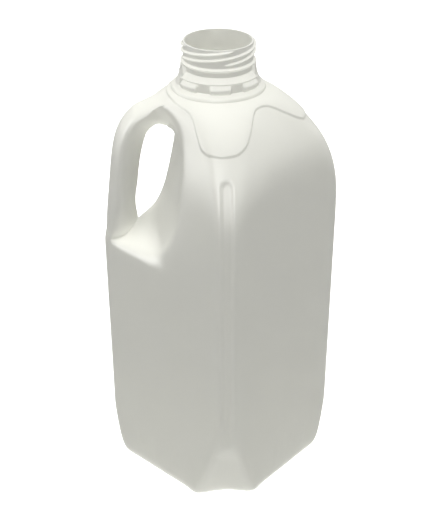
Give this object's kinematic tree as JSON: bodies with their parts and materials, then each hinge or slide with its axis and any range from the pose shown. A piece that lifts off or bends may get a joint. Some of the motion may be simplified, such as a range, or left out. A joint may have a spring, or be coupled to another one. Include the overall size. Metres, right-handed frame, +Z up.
{
  "type": "milk jug",
  "caption": "Empty thin-walled blow-moulded plastic milk jug with a square body, a through handle on one corner, heel, shoulder and an open threaded neck.",
  "frame": {"origin": "middle of the base, on the plane that the jug stands on", "axes": "+Z up along the body, -X towards the handle, the flat sides face the diagonals between X and Y"},
  "size_m": [0.1278, 0.123, 0.26],
  "materials": {
    "milky_plastic": "unpigmented translucent polyethylene, satin, with a soft sheen"
  },
  "bodies": {
    "root": {"milk_jug": "milky_plastic"}
  },
  "joints": []
}
